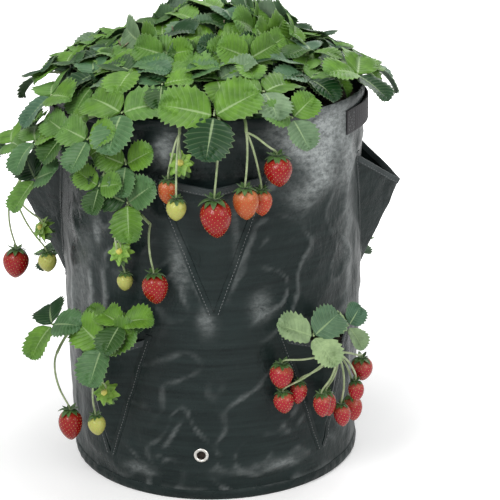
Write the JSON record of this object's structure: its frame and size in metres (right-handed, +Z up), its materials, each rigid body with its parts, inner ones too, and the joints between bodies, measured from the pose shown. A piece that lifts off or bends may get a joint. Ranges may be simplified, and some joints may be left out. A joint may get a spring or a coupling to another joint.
{
  "type": "strawberry tower grow bag",
  "caption": "Round woven-plastic grow bag with side pockets in two tiers, webbing handles and drain eyelets, filled with soil and planted with fruiting strawberries.",
  "frame": {"origin": "middle of the base, on the surface the bag stands on", "axes": "+Z up, -Y the front of the bag with the middle upper pocket, +X its right side"},
  "size_m": [0.4732, 0.4571, 0.5229],
  "materials": {
    "tarp": "dark slate-green woven plastic sheet, crinkled, soft sheen",
    "binding": "folded and sewn edge of the same sheet",
    "webbing": "matte charcoal woven webbing",
    "eyelet_metal": "bright nickel plating",
    "soil": "dark moist potting soil",
    "leaf": "serrated, veined leaves, satin",
    "stem": "pale green stalks and caps",
    "berry": "glossy red berries with seeds, some unripe and pale"
  },
  "bodies": {
    "bag": {"bag_wall": "tarp", "bottom_binding": "binding", "bottom_panel": "tarp", "drain_eyelets": "eyelet_metal", "eyelet_washers": "eyelet_metal", "handle_patches": "webbing", "plant_lower_back_left": "leaf", "plant_lower_back_right": "leaf", "plant_lower_front_left": "leaf", "plant_lower_front_right": "leaf", "plant_top_back": "leaf", "plant_top_back_left": "leaf", "plant_top_back_right": "leaf", "plant_top_front": "leaf", "plant_top_front_left": "leaf", "plant_top_left": "leaf", "plant_top_middle": "leaf", "plant_top_right": "leaf", "plant_upper_left": "leaf", "pocket_hem_lower_back_left": "binding", "pocket_hem_lower_back_right": "binding", "pocket_hem_lower_front_left": "binding", "pocket_hem_lower_front_right": "binding", "pocket_hem_upper_back": "binding", "pocket_hem_upper_front": "binding", "pocket_hem_upper_left": "binding", "pocket_hem_upper_right": "binding", "pocket_lower_back_left": "tarp", "pocket_lower_back_right": "tarp", "pocket_lower_front_left": "tarp", "pocket_lower_front_right": "tarp", "pocket_soil": "soil", "pocket_upper_back": "tarp", "pocket_upper_front": "tarp", "pocket_upper_left": "tarp", "pocket_upper_right": "tarp", "rim_hem": "binding", "side_seam_tape": "binding", "soil_core": "soil"},
    "truss_left": {"stems_left": "stem", "berries_left": "berry"},
    "truss_front_left_young": {"stems_front_left_young": "stem", "berries_front_left_young": "berry"},
    "truss_front_left_ripe": {"stems_front_left_ripe": "stem", "berries_front_left_ripe": "berry"},
    "truss_front_young": {"stems_front_young": "stem", "berries_front_young": "berry"},
    "truss_front_ripe": {"stems_front_ripe": "stem", "berries_front_ripe": "berry"},
    "truss_front_right": {"stems_front_right": "stem", "berries_front_right": "berry"},
    "truss_lower_left_ripe": {"stems_lower_left_ripe": "stem", "berries_lower_left_ripe": "berry"},
    "truss_lower_left_young": {"stems_lower_left_young": "stem", "berries_lower_left_young": "berry"},
    "truss_lower_right": {"stems_lower_right": "stem", "berries_lower_right": "berry"},
    "handle_right_loop": {"handle_right": "webbing"},
    "handle_left_loop": {"handle_left": "webbing"}
  },
  "joints": [
    {"name": "truss_left_swing", "type": "hinge", "parent": "bag", "child": "truss_left", "pos_m": [-0.21865, -0.05452, 0.336], "axis": [-0.2419, 0.9703, 0], "range_deg": [0, 20]},
    {"name": "truss_front_left_young_swing", "type": "hinge", "parent": "bag", "child": "truss_front_left_young", "pos_m": [-0.10135, -0.16219, 0.33], "axis": [-0.848, 0.5299, 0], "range_deg": [0, 20]},
    {"name": "truss_front_left_ripe_swing", "type": "hinge", "parent": "bag", "child": "truss_front_left_ripe", "pos_m": [-0.06473, -0.17784, 0.33], "axis": [-0.9397, 0.342, 0], "range_deg": [0, 20]},
    {"name": "truss_front_young_swing", "type": "hinge", "parent": "bag", "child": "truss_front_young", "pos_m": [-0.03117, -0.18625, 0.43], "axis": [-0.9863, 0.165, 0], "range_deg": [0, 20]},
    {"name": "truss_front_ripe_swing", "type": "hinge", "parent": "bag", "child": "truss_front_ripe", "pos_m": [0.00988, -0.18858, 0.43], "axis": [-0.9986, -0.0523, 0], "range_deg": [0, 20]},
    {"name": "truss_front_right_swing", "type": "hinge", "parent": "bag", "child": "truss_front_right", "pos_m": [0.03765, -0.18505, 0.43], "axis": [-0.9799, -0.1994, 0], "range_deg": [0, 20]},
    {"name": "truss_lower_left_ripe_swing", "type": "hinge", "parent": "bag", "child": "truss_lower_left_ripe", "pos_m": [-0.17507, -0.13434, 0.168], "axis": [-0.6088, 0.7934, 0], "range_deg": [0, 20]},
    {"name": "truss_lower_left_young_swing", "type": "hinge", "parent": "bag", "child": "truss_lower_left_young", "pos_m": [-0.12431, -0.17754, 0.172], "axis": [-0.8192, 0.5736, 0], "range_deg": [0, 20]},
    {"name": "truss_lower_right_swing", "type": "hinge", "parent": "bag", "child": "truss_lower_right", "pos_m": [0.1317, -0.17477, 0.178], "axis": [-0.7986, -0.6018, 0], "range_deg": [0, 20]},
    {"name": "handle_right_lift", "type": "hinge", "parent": "bag", "child": "handle_right_loop", "pos_m": [0.16304, 0, 0.427], "axis": [0, -1, 0], "range_deg": [0, 35]},
    {"name": "handle_left_lift", "type": "hinge", "parent": "bag", "child": "handle_left_loop", "pos_m": [-0.16304, 0, 0.427], "axis": [0, 1, 0], "range_deg": [0, 35]}
  ]
}
